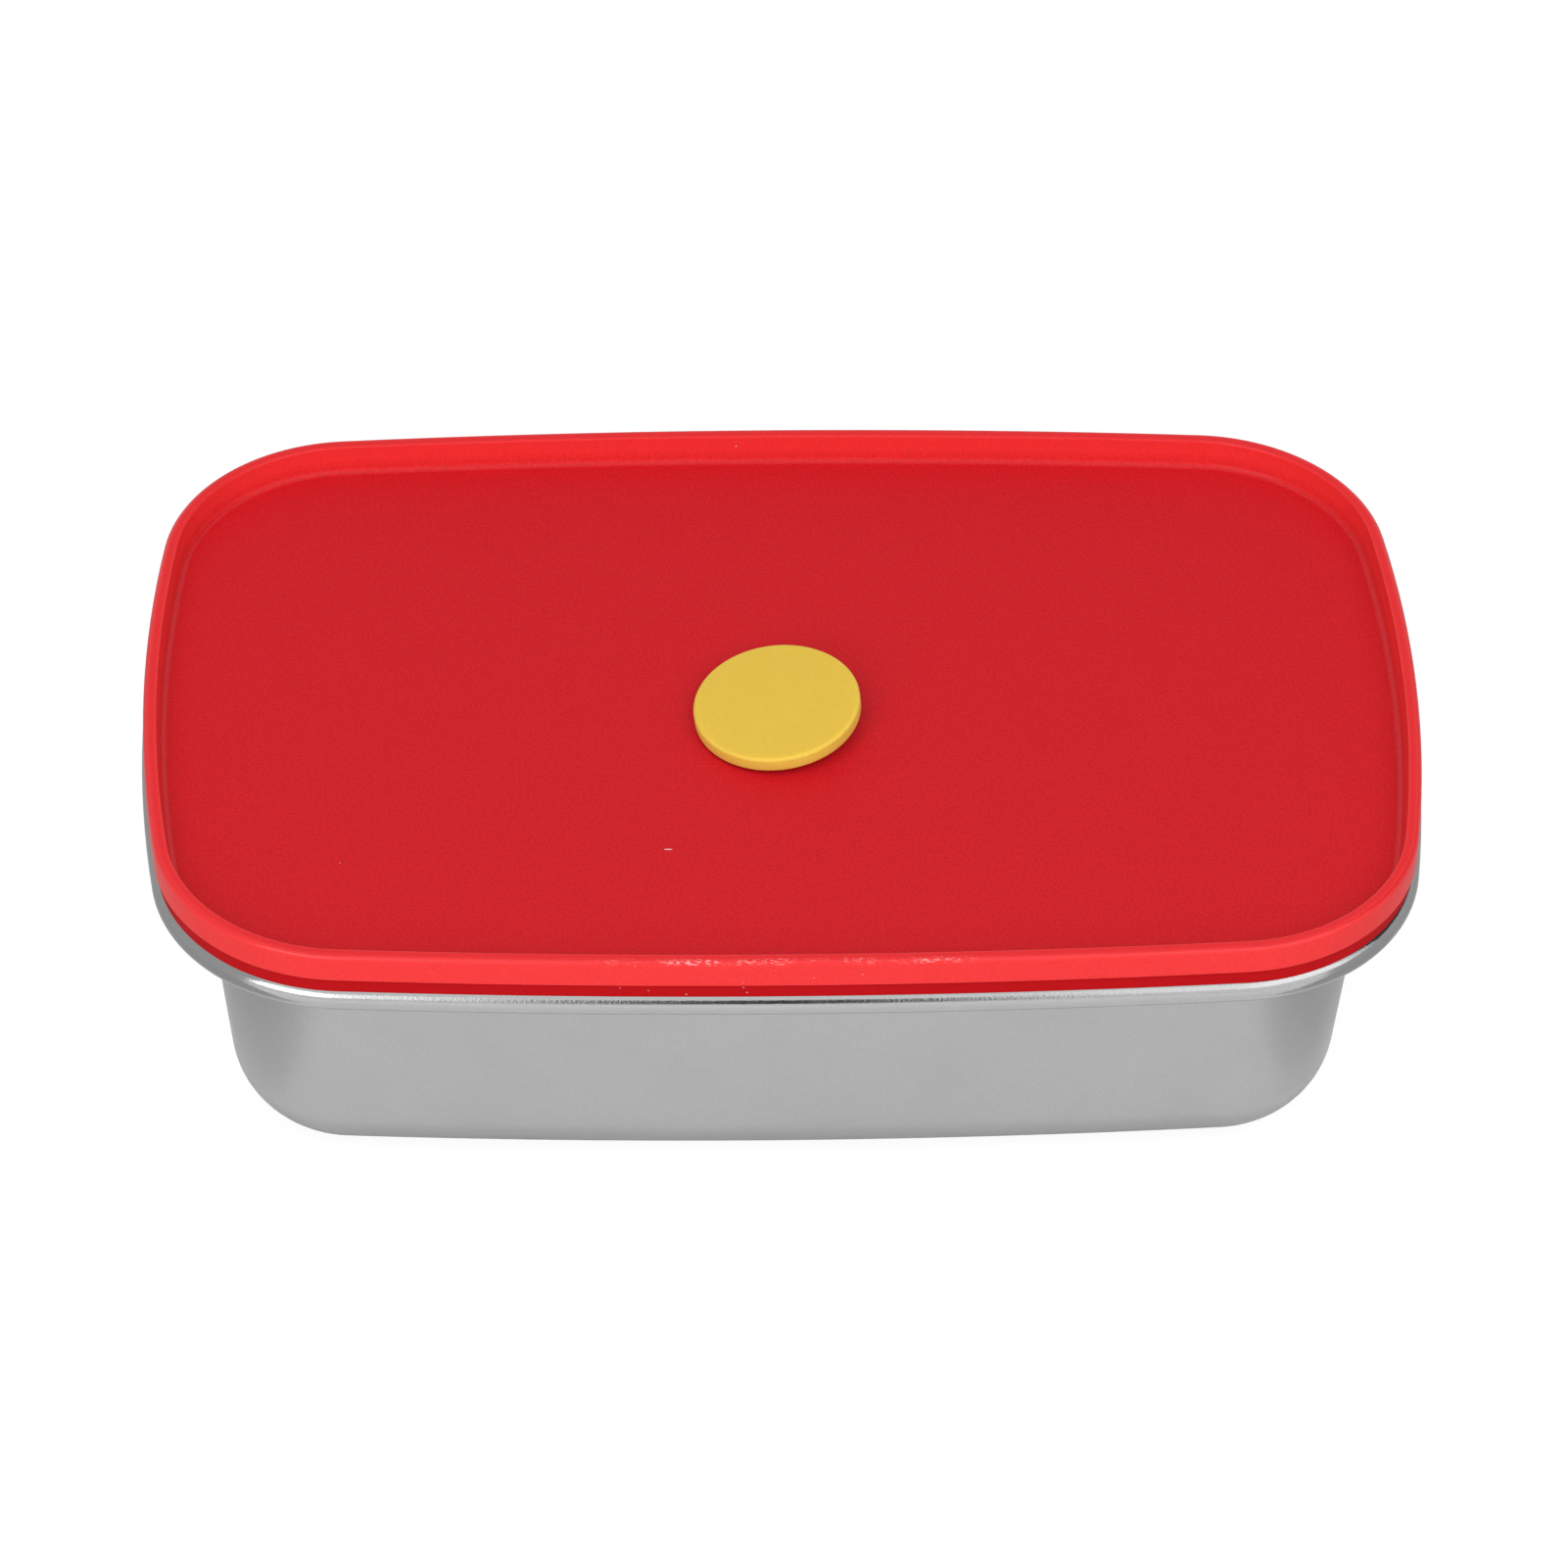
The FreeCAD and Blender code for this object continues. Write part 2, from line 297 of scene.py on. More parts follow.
def corner_place(outline):
    """Centre of the first corner's arc, and the angles at which that arc starts and ends."""
    long_y = outline.rim_width / 2.0 - outline.long_side_radius
    short_x = outline.rim_length / 2.0 - outline.short_side_radius
    reach_long = outline.long_side_radius - outline.corner_radius
    reach_short = outline.short_side_radius - outline.corner_radius
    apart = math.hypot(short_x, long_y)
    along = (reach_long ** 2 - reach_short ** 2 + apart ** 2) / (2.0 * apart)
    aside = math.sqrt(reach_long ** 2 - along ** 2)
    unit_x = short_x / apart
    unit_y = -long_y / apart
    corner_x = unit_x * along + abs(unit_y) * aside
    corner_y = long_y + unit_y * along - unit_x * aside
    start = math.atan2(corner_y, corner_x - short_x)
    end = math.atan2(corner_y - long_y, corner_x)
    return corner_x, corner_y, start, end


def bend(corner, before, after, radius):
    """Points of the tangent arc at a corner, between the directions of its two sides."""
    half_angle = before.angle(after) / 2.0
    centre = corner + (before + after).normalized() * (radius / math.sin(half_angle))
    start = corner + before * (radius / math.tan(half_angle)) - centre
    turn = math.pi - 2.0 * half_angle
    count = max(2, math.ceil(turn / BEND_STEP))
    step = math.copysign(turn / count, before.cross(after))
    points = []
    for index in range(count + 1):
        points.append(centre + Matrix.Rotation(-index * step, 2) @ start)
    return points


def rounded_path(corners, closed=False):
    """Points through (inset, height, radius) corners, each rounded by its radius."""
    spots = [Vector((first, second)) for first, second, _ in corners]
    last = len(spots) - 1
    points = []
    for index, (_, _, radius) in enumerate(corners):
        at_end = index in (0, last) and not closed
        if at_end or radius <= 0.0:
            points.append(spots[index])
            continue
        before = (spots[index - 1] - spots[index]).normalized()
        after = (spots[(index + 1) % len(spots)] - spots[index]).normalized()
        points.extend(bend(spots[index], before, after, radius))
    return points


def sheet_corners(path, sheet):
    """Corners of a bent sheet: the path is one face, the other lies one sheet to its right."""
    points = [Vector((inset, height)) for inset, height, _ in path]
    headings = [(end - start).normalized() for start, end in zip(points, points[1:])]
    far_side = []
    last = len(path) - 1
    for index, (inset, height, radius) in enumerate(path):
        arriving = headings[max(index - 1, 0)]
        leaving = headings[min(index, last - 1)]
        right = Vector((arriving.y + leaving.y, -arriving.x - leaving.x)).normalized()
        reach = sheet / right.dot(Vector((arriving.y, -arriving.x)))
        if radius > 0.0:
            radius += math.copysign(sheet, arriving.cross(leaving))
        far_side.append((inset + right.x * reach, height + right.y * reach, radius))
    return path + far_side[::-1]


RING_INPUTS = (
    ("Half Length", "NodeSocketFloat"),
    ("Half Width", "NodeSocketFloat"),
    ("Long Side Radius", "NodeSocketFloat"),
    ("Short Side Radius", "NodeSocketFloat"),
    ("Corner Radius", "NodeSocketFloat"),
    ("Corner X", "NodeSocketFloat"),
    ("Corner Y", "NodeSocketFloat"),
    ("Corner Start", "NodeSocketFloat"),
    ("Corner End", "NodeSocketFloat"),
    ("Short Columns", "NodeSocketInt"),
    ("Corner Columns", "NodeSocketInt"),
    ("Long Columns", "NodeSocketInt"),
    ("Material", "NodeSocketMaterial"),
)


def ring_tree():
    """Geometry nodes that carry a section, a chain of (inset, height) points, round the outline.

    A circle gives the columns. Each column has its own angle on the outline's arcs, and each of
    its points stands at the arc's centre plus the arc's radius less the point's inset.
    """
    name = "Section round the outline"
    if name in bpy.data.node_groups:
        return bpy.data.node_groups[name]
    tree = bpy.data.node_groups.new(name, "GeometryNodeTree")
    tree.interface.new_socket("Geometry", in_out="INPUT", socket_type="NodeSocketGeometry")
    for label, kind in RING_INPUTS:
        tree.interface.new_socket(label, in_out="INPUT", socket_type=kind)
    tree.interface.new_socket("Geometry", in_out="OUTPUT", socket_type="NodeSocketGeometry")
    nodes = Nodes(tree)
    given = nodes.add("NodeGroupInput").outputs

    # Columns of one quarter, from the middle of a short side to the middle of a long side
    corner_first = given["Short Columns"]
    corner_last = nodes.math("ADD", corner_first, given["Corner Columns"])
    quarter = nodes.math("ADD", corner_last, given["Long Columns"])

    # The section swept round a circle, for its faces only
    section = nodes.add("GeometryNodeMeshToCurve", {"Mesh": given["Geometry"]}).outputs["Curve"]
    count = nodes.add("GeometryNodeAttributeDomainSize", {"Geometry": section}, component="CURVE")
    columns = nodes.math("MULTIPLY", quarter, 4.0)
    circle = nodes.add("GeometryNodeCurvePrimitiveCircle", {"Resolution": columns})
    sweep = nodes.add("GeometryNodeCurveToMesh", {
        "Curve": circle.outputs["Curve"],
        "Profile Curve": section,
    })

    # Which column a point is in, and which point of the section it is
    index = nodes.add("GeometryNodeInputIndex").outputs["Index"]
    rows = count.outputs["Point Count"]
    column = nodes.math("FLOOR", nodes.math("DIVIDE", nodes.math("ADD", index, 0.5), rows))
    row = nodes.math("SUBTRACT", index, nodes.math("MULTIPLY", column, rows))
    position = nodes.add("GeometryNodeInputPosition").outputs["Position"]
    sample = nodes.add("GeometryNodeSampleIndex", data_type="FLOAT_VECTOR", domain="POINT")
    tree.links.new(section, sample.inputs["Geometry"])
    tree.links.new(position, sample.inputs["Value"])
    tree.links.new(row, sample.inputs["Index"])
    spot = nodes.add("ShaderNodeSeparateXYZ", {"Vector": sample.outputs["Value"]}).outputs
    inset = spot["X"]
    height = spot["Z"]

    # The column's angle in the first quarter, and the signs that mirror it into its own quarter
    turn = nodes.math("FLOOR", nodes.math("DIVIDE", nodes.math("ADD", column, 0.5), quarter))
    step = nodes.math("SUBTRACT", column, nodes.math("MULTIPLY", turn, quarter))
    mirrored = nodes.math("MODULO", turn, 2.0)
    back_step = nodes.math("SUBTRACT", quarter, nodes.math("MULTIPLY", step, 2.0))
    step = nodes.math("ADD", step, nodes.math("MULTIPLY", mirrored, back_step))
    corner_turn = nodes.math("SUBTRACT", given["Corner End"], given["Corner Start"])
    long_turn = nodes.math("SUBTRACT", math.pi / 2.0, given["Corner End"])
    on_short = nodes.ramp(step, 0.0, corner_first, 0.0, given["Corner Start"])
    on_corner = nodes.ramp(step, corner_first, corner_last, 0.0, corner_turn)
    on_long = nodes.ramp(step, corner_last, quarter, 0.0, long_turn)
    heading = nodes.math("ADD", nodes.math("ADD", on_short, on_corner), on_long)
    left = nodes.math("COMPARE", turn, 1.5)
    left.node.inputs[2].default_value = 0.6
    front = nodes.math("GREATER_THAN", turn, 1.5)
    sign_x = nodes.math("SUBTRACT", 1.0, nodes.math("MULTIPLY", left, 2.0))
    sign_y = nodes.math("SUBTRACT", 1.0, nodes.math("MULTIPLY", front, 2.0))

    # Centre and radius of the arc that the column is on
    past_short = nodes.math("GREATER_THAN", step, corner_first)
    past_corner = nodes.math("GREATER_THAN", step, corner_last)
    short_x = nodes.math("SUBTRACT", given["Half Length"], given["Short Side Radius"])
    long_y = nodes.math("SUBTRACT", given["Half Width"], given["Long Side Radius"])

    def chosen(short, corner, long):
        """The value for the short side, the corner or the long side."""
        inner = nodes.add("GeometryNodeSwitch", {"Switch": past_short, "False": short, "True": corner},
                          input_type="FLOAT")
        outer = nodes.add("GeometryNodeSwitch",
                          {"Switch": past_corner, "False": inner.outputs["Output"], "True": long},
                          input_type="FLOAT")
        return outer.outputs["Output"]

    centre_x = chosen(short_x, given["Corner X"], 0.0)
    centre_y = chosen(0.0, given["Corner Y"], long_y)
    radius = chosen(given["Short Side Radius"], given["Corner Radius"], given["Long Side Radius"])
    reach = nodes.math("SUBTRACT", radius, inset)
    x = nodes.math("ADD", centre_x, nodes.math("MULTIPLY", reach, nodes.math("COSINE", heading)))
    y = nodes.math("ADD", centre_y, nodes.math("MULTIPLY", reach, nodes.math("SINE", heading)))
    place = nodes.add("ShaderNodeCombineXYZ", {
        "X": nodes.math("MULTIPLY", sign_x, x),
        "Y": nodes.math("MULTIPLY", sign_y, y),
        "Z": height,
    })

    kept = nodes.add("GeometryNodeStoreNamedAttribute", {
        "Geometry": sweep.outputs["Mesh"],
        "Name": "inset",
        "Value": inset,
    }, data_type="FLOAT", domain="POINT")
    moved = nodes.add("GeometryNodeSetPosition", {
        "Geometry": kept.outputs["Geometry"],
        "Position": place.outputs["Vector"],
    })
    smooth = nodes.add("GeometryNodeSetShadeSmooth", {"Geometry": moved.outputs["Geometry"]})
    real = nodes.add("GeometryNodeRealizeInstances", {"Geometry": smooth.outputs["Geometry"]})
    done = nodes.add("GeometryNodeSetMaterial", {
        "Geometry": real.outputs["Geometry"],
        "Material": given["Material"],
    })
    nodes.add("NodeGroupOutput", {"Geometry": done.outputs["Geometry"]})
    return tree


def ring(name, points, closed, material, outline):
    """An object whose mesh is the section carried round the outline."""
    chain = bpy.data.meshes.new(name)
    edges = [(index, index + 1) for index in range(len(points) - 1)]
    if closed:
        edges.append((len(points) - 1, 0))
    chain.from_pydata([(point.x, 0.0, point.y) for point in points], edges, [])
    piece = bpy.data.objects.new(name, chain)
    bpy.context.scene.collection.objects.link(piece)
    tree = ring_tree()
    modifier = piece.modifiers.new("Section round the outline", "NODES")
    modifier.node_group = tree
    corner_x, corner_y, start, end = corner_place(outline)
    values = {
        "Half Length": outline.rim_length / 2.0,
        "Half Width": outline.rim_width / 2.0,
        "Long Side Radius": outline.long_side_radius,
        "Short Side Radius": outline.short_side_radius,
        "Corner Radius": outline.corner_radius,
        "Corner X": corner_x,
        "Corner Y": corner_y,
        "Corner Start": start,
        "Corner End": end,
        "Short Columns": outline.short_columns,
        "Corner Columns": outline.corner_columns,
        "Long Columns": outline.long_columns,
        "Material": material,
    }
    for item in tree.interface.items_tree:
        if item.in_out == "INPUT" and item.name in values:
            modifier[item.identifier] = values[item.name]
    graph = bpy.context.evaluated_depsgraph_get()
    mesh = bpy.data.meshes.new_from_object(piece.evaluated_get(graph), depsgraph=graph)
    if not mesh.polygons:
        raise RuntimeError("the section of " + name + " made no faces")
    mesh.name = name
    piece.modifiers.clear()
    piece.data = mesh
    if not mesh.materials:
        mesh.materials.append(material)
    bpy.data.meshes.remove(chain)
    return piece


def open_loops(work):
    """The open edges of a mesh, sorted into an upper and a lower loop."""
    edges = [edge for edge in work.edges if edge.is_boundary]
    middle = sum(edge.verts[0].co.z for edge in edges) / len(edges)
    upper = [edge for edge in edges if edge.verts[0].co.z > middle]
    lower = [edge for edge in edges if edge.verts[0].co.z <= middle]
    return upper, lower


def hole_edges(work, centre, radius, steps):
    """A circle of new edges in a plate."""
    points = []
    for index in range(steps):
        turn = 2.0 * math.pi * index / steps
        spoke = Vector((math.cos(turn), math.sin(turn), 0.0)) * radius
        points.append(work.verts.new(centre + spoke))
    return [work.edges.new((points[index - 1], points[index])) for index in range(steps)]


def close_plates(piece, hole_centre=None, hole_radius=0.0, hole_steps=48):
    """Fill the two open loops of a ring with flat plates, with a hole through both if one is given."""
    work = bmesh.new()
    work.from_mesh(piece.data)
    insets = work.verts.layers.float["inset"]
    rims = []
    for loop in open_loops(work):
        edges = list(loop)
        if hole_centre is not None:
            on_loop = loop[0].verts[0]
            rim = hole_edges(work, Vector((*hole_centre.xy, on_loop.co.z)), hole_radius, hole_steps)
            for edge in rim:
                edge.verts[0][insets] = on_loop[insets]
            rims += rim
            edges += rim
        made = bmesh.ops.triangle_fill(work, use_beauty=True, edges=edges, normal=Vector((0.0, 0.0, 1.0)))
        for face in made["geom"]:
            if isinstance(face, bmesh.types.BMFace):
                face.smooth = False
    if rims:
        walls = bmesh.ops.bridge_loops(work, edges=rims)
        for face in walls["faces"]:
            face.smooth = True
    finish_work(work, piece)


def finish_work(work, piece):
    """Write an edited mesh back with its faces outwards and its sharp edges marked."""
    bmesh.ops.recalc_face_normals(work, faces=work.faces)
    open_edges = [edge for edge in work.edges if not edge.is_manifold]
    if open_edges:
        raise RuntimeError(piece.name + " has open edges: " + str(len(open_edges)))
    work.to_mesh(piece.data)
    work.free()
    piece.data.set_sharp_from_angle(angle=SHARP_ANGLE)


def wall_inside(body, height):
    """Inset of the steel wall's food side at a height."""
    flange_under = body.height - body.sheet
    run = math.tan(body.wall_draft) * (flange_under - height)
    return body.flange_width + run + body.sheet / math.cos(body.wall_draft)


def shader_group(name, inputs, outputs):
    """An empty shader node group with its sockets, or None if it is there already."""
    if name in bpy.data.node_groups:
        return None
    tree = bpy.data.node_groups.new(name, "ShaderNodeTree")
    for label, kind, default in inputs:
        socket = tree.interface.new_socket(label, in_out="INPUT", socket_type=kind)
        if default is not None:
            socket.default_value = default
    for label in outputs:
        tree.interface.new_socket(label, in_out="OUTPUT", socket_type="NodeSocketFloat")
    return tree


def grain_group():
    """Fine grain of a moulded or blasted surface: a height, and a slow mottle from 0 to 1."""
    name = "Surface grain"
    tree = shader_group(name, [
        ("Vector", "NodeSocketVector", None),
        ("Grain Size", "NodeSocketFloat", 0.3 * MM),
        ("Mottle Size", "NodeSocketFloat", 8.0 * MM),
    ], ["Height", "Mottle"])
    if tree:
        nodes = Nodes(tree)
        given = nodes.add("NodeGroupInput").outputs
        fine = nodes.add("ShaderNodeTexNoise", {
            "Vector": given["Vector"],
            "Scale": nodes.math("DIVIDE", 1.0, given["Grain Size"]),
            "Detail": 3.0,
            "Roughness": 0.6,
        })
        slow = nodes.add("ShaderNodeTexNoise", {
            "Vector": given["Vector"],
            "Scale": nodes.math("DIVIDE", 1.0, given["Mottle Size"]),
            "Detail": 4.0,
            "Roughness": 0.55,
        })
        nodes.add("NodeGroupOutput", {"Height": fine.outputs["Fac"], "Mottle": slow.outputs["Fac"]})
    return bpy.data.node_groups[name]


def dust_group():
    """Scattered specks: a mask that is 1 on a few small spots."""
    name = "Dust specks"
    tree = shader_group(name, [
        ("Vector", "NodeSocketVector", None),
        ("Spacing", "NodeSocketFloat", 6.0 * MM),
        ("Speck Radius", "NodeSocketFloat", 0.12 * MM),
        ("Share", "NodeSocketFloat", 0.2),
    ], ["Mask"])
    if tree:
        nodes = Nodes(tree)
        given = nodes.add("NodeGroupInput").outputs
        cells = nodes.add("ShaderNodeTexVoronoi", {
            "Vector": given["Vector"],
            "Scale": nodes.math("DIVIDE", 1.0, given["Spacing"]),
        })
        chance = nodes.add("ShaderNodeSeparateColor", {"Color": cells.outputs["Color"]}).outputs
        reach = nodes.math("DIVIDE", given["Speck Radius"], given["Spacing"])
        reach = nodes.math("MULTIPLY", reach, nodes.math("ADD", 0.4, chance["Green"]))
        near = nodes.math("LESS_THAN", cells.outputs["Distance"], reach)
        drawn = nodes.math("LESS_THAN", chance["Red"], given["Share"])
        nodes.add("NodeGroupOutput", {"Mask": nodes.math("MULTIPLY", near, drawn)})
    return bpy.data.node_groups[name]


def empty_nodes(owner):
    """The emptied node tree of a material or world."""
    owner.use_nodes = True
    owner.node_tree.nodes.clear()
    return Nodes(owner.node_tree)


def new_material(name):
    """A material with a Principled shader; returns it with its nodes, shader and object coordinates."""
    material = bpy.data.materials.new(name)
    nodes = empty_nodes(material)
    shader = nodes.add("ShaderNodeBsdfPrincipled")
    nodes.add("ShaderNodeOutputMaterial", {"Surface": shader.outputs["BSDF"]})
    place = nodes.add("ShaderNodeTexCoord").outputs["Object"]
    return material, nodes, shader, place


def lid_plastic(finish, lid):
    """Matte red moulding: grained panel, smoother lip painted lighter and foot painted darker as light and
    shade, rubbed top edge and dust.
    """
    material, nodes, shader, place = new_material("Red lid plastic")
    links = nodes.tree.links
    inset = nodes.add("ShaderNodeAttribute", attribute_name="inset").outputs["Fac"]
    axes = nodes.add("ShaderNodeSeparateXYZ", {"Vector": place}).outputs
    height = axes["Z"]
    lip_inside = lid.inset + lid.lip_width
    outer_part = nodes.ramp(inset, lip_inside + 0.75 * MM, lip_inside + 0.25 * MM)
    above_foot = nodes.ramp(height, lid.top - lid.lip_height - 0.1 * MM, lid.top - lid.lip_height)
    on_lip = nodes.math("MULTIPLY", outer_part, above_foot)
    on_foot = nodes.math("SUBTRACT", outer_part, on_lip)

    grain = group_node(nodes, grain_group(), {
        "Vector": place, "Grain Size": 0.45 * MM, "Mottle Size": 9.0 * MM})
    # Painted light and shade on one moulding: the lip painted lighter than the panel, its flat top a little
    # darker than its front, and the foot under the lip painted darker for the lip's shade
    red = nodes.mix(on_lip, rgba(finish.panel_red), rgba(finish.lip_lit_red))
    red = nodes.mix(on_foot, red, rgba(finish.foot_red))
    # Painted light and shade: the lip's top gets its own lit red, darker than the lip's front
    on_top = nodes.ramp(height, lid.top - 0.5 * MM, lid.top - 0.15 * MM)
    red = nodes.mix(on_top, red, rgba(finish.lip_top_painted_red))
    deep_red = rgba([channel * 0.7 for channel in finish.panel_red])
    red = nodes.mix(nodes.ramp(grain.outputs["Mottle"], 0.35, 0.65, 0.0, 0.04), red, deep_red)
    speckle = nodes.ramp(grain.outputs["Height"], 0.65, 0.35, 0.0, 0.75)
    speckle = nodes.math("MULTIPLY", speckle, nodes.ramp(outer_part, 0.0, 1.0, 1.0, 0.25))
    red = nodes.mix(speckle, red, deep_red)

    top_edge = nodes.ramp(height, lid.top - 0.7 * MM, lid.top - 0.2 * MM)
    outer = nodes.ramp(inset, lid.inset + 1.1 * MM, lid.inset + 0.3 * MM)
    edge = nodes.math("MULTIPLY", top_edge, outer)
    handled = nodes.ramp(nodes.math("ABSOLUTE", axes["X"]), 32.0 * MM, 14.0 * MM)
    handled = nodes.math("MULTIPLY", handled, nodes.math("LESS_THAN", axes["Y"], 0.0))
    patches = nodes.add("ShaderNodeTexNoise", {"Vector": place, "Scale": 160.0, "Detail": 2.0})
    along = nodes.add("ShaderNodeMapping", {"Vector": place, "Scale": (1.0, 3.0, 3.0)}).outputs["Vector"]
    flecks = nodes.add("ShaderNodeTexNoise", {"Vector": along, "Scale": 1300.0, "Detail": 3.0})
    rubbed = nodes.math("MULTIPLY", nodes.ramp(patches.outputs["Fac"], 0.38, 0.55), handled)
    rubbed = nodes.math("MULTIPLY", rubbed, nodes.ramp(flecks.outputs["Fac"], 0.5, 0.62))
    scuffs = nodes.math("MULTIPLY", nodes.math("MULTIPLY", edge, rubbed), 0.8)
    red = nodes.mix(scuffs, red, rgba(finish.scuff_pale))
    nicks = group_node(nodes, dust_group(), {
        "Vector": place, "Spacing": 1.5 * MM, "Speck Radius": 0.14 * MM, "Share": 0.6})
    nicked = nodes.math("MULTIPLY", nodes.math("MULTIPLY", nicks.outputs["Mask"], handled), outer)
    red = nodes.mix(nodes.math("MULTIPLY", nicked, 0.6), red, rgba(finish.scuff_pale))
    dust = group_node(nodes, dust_group(), {
        "Vector": place, "Spacing": 7.0 * MM, "Speck Radius": 0.11 * MM, "Share": 0.22})
    turned = nodes.add("ShaderNodeMapping", {
        "Vector": place, "Rotation": (0.0, 0.0, 0.5), "Scale": (0.2, 1.0, 1.0)}).outputs["Vector"]
    lint = group_node(nodes, dust_group(), {
        "Vector": turned, "Spacing": 6.0 * MM, "Speck Radius": 0.10 * MM, "Share": 0.16})
    specks = nodes.math("MAXIMUM", dust.outputs["Mask"], lint.outputs["Mask"])
    red = nodes.mix(nodes.math("MULTIPLY", specks, 0.6), red, rgba(finish.dust_pale))
    links.new(red, shader.inputs["Base Color"])

    rough = nodes.ramp(on_lip, 0.0, 1.0, 0.56, 0.30)
    rough = nodes.math("ADD", rough, nodes.math("MULTIPLY", on_foot, 0.35))
    rough = nodes.math("ADD", rough, nodes.math("MULTIPLY", grain.outputs["Mottle"], 0.06))
    links.new(rough, shader.inputs["Roughness"])
    depth = nodes.ramp(on_lip, 0.0, 1.0, 1.0, 0.3)
    bump = nodes.add("ShaderNodeBump", {
        "Height": nodes.math("MULTIPLY", grain.outputs["Height"], depth),
        "Strength": 0.5,
        "Distance": 0.06 * MM,
    })
    links.new(bump.outputs["Normal"], shader.inputs["Normal"])

    # A little gloss on the lip's edges and on the fillet, alike all round
    recess_foot = lip_inside + lid.recess_depth * math.tan(lid.recess_draft)
    fillet = nodes.ramp(inset, recess_foot, recess_foot + 0.2 * MM)
    fillet_end = recess_foot + lid.recess_radius
    fillet = nodes.math("MULTIPLY", fillet, nodes.ramp(inset, fillet_end, fillet_end - 0.3 * MM))
    corner = nodes.ramp(inset, lip_inside - lid.inner_edge - 0.1 * MM, lip_inside - 0.25 * MM)
    corner = nodes.math("MULTIPLY", corner, nodes.ramp(height, lid.top - 0.5 * MM, lid.top - 0.3 * MM))
    fillet = nodes.math("MAXIMUM", fillet, corner)
    polish = nodes.math("MULTIPLY", edge, 0.6)
    polish = nodes.math("MAXIMUM", polish, nodes.math("MULTIPLY", fillet, 0.25))
    links.new(polish, shader.inputs["Coat Weight"])
    shader.inputs["Coat Roughness"].default_value = 0.12
    shader.inputs["Specular IOR Level"].default_value = 0.15
    return material


def group_node(nodes, tree, inputs):
    """A node group placed in a material with its own values."""
    return nodes.add("ShaderNodeGroup", inputs, node_tree=tree)


def satin_steel(finish, body):
    """Satin steel: even blasted grain, faint handling marks and a burnished rim."""
    material, nodes, shader, place = new_material("Satin steel")
    links = nodes.tree.links
    grain = group_node(nodes, grain_group(), {
        "Vector": place, "Grain Size": 0.4 * MM, "Mottle Size": 14.0 * MM})
    marks = nodes.ramp(grain.outputs["Mottle"], 0.42, 0.68, 0.0, 0.25)
    dull = rgba([channel * 0.85 for channel in finish.steel_grey])
    grey = nodes.mix(marks, rgba(finish.steel_grey), dull)
    grey = nodes.mix(nodes.ramp(grain.outputs["Height"], 0.65, 0.35, 0.0, 0.5), grey, dull)
    inset = nodes.add("ShaderNodeAttribute", attribute_name="inset").outputs["Fac"]
    axes = nodes.add("ShaderNodeSeparateXYZ", {"Vector": place}).outputs
    height = axes["Z"]
    # Painted shade: towards the base all round, and in a line under the rim on the long sides
    on_base = nodes.ramp(height, 11.5 * MM, 5.5 * MM)
    curl_middle = body.height - body.rim_radius
    under_rim = nodes.ramp(height, curl_middle - 0.35 * body.rim_radius, curl_middle - 0.55 * body.rim_radius)
    on_rim = nodes.math("LESS_THAN", inset, 1.5 * body.rim_radius)
    aside = nodes.math("ABSOLUTE", axes["Y"])
    on_rim = nodes.math("MULTIPLY", on_rim, nodes.ramp(aside, 52.0 * MM, 61.0 * MM))
    shaded = nodes.math("ADD", on_base, nodes.math("MULTIPLY", under_rim, on_rim))
    shaded = nodes.math("MINIMUM", shaded, 1.0)
    dark = rgba([channel * 0.68 for channel in finish.steel_grey])
    grey = nodes.mix(shaded, grey, dark)
    links.new(grey, shader.inputs["Base Color"])
    burnished = nodes.ramp(inset, body.rim_radius * 1.6, body.rim_radius)
    rough = nodes.ramp(burnished, 0.0, 1.0, 0.30, 0.10)
    rough = nodes.math("ADD", rough, nodes.ramp(grain.outputs["Mottle"], 0.35, 0.7, 0.0, 0.04))
    links.new(rough, shader.inputs["Roughness"])
    relief = nodes.ramp(burnished, 0.0, 1.0, 1.0, 1.8)
    bump = nodes.add("ShaderNodeBump", {
        "Height": nodes.math("MULTIPLY", grain.outputs["Height"], relief),
        "Strength": 0.5,
        "Distance": 0.02 * MM,
    })
    links.new(bump.outputs["Normal"], shader.inputs["Normal"])
    shader.inputs["Metallic"].default_value = 1.0
    return material


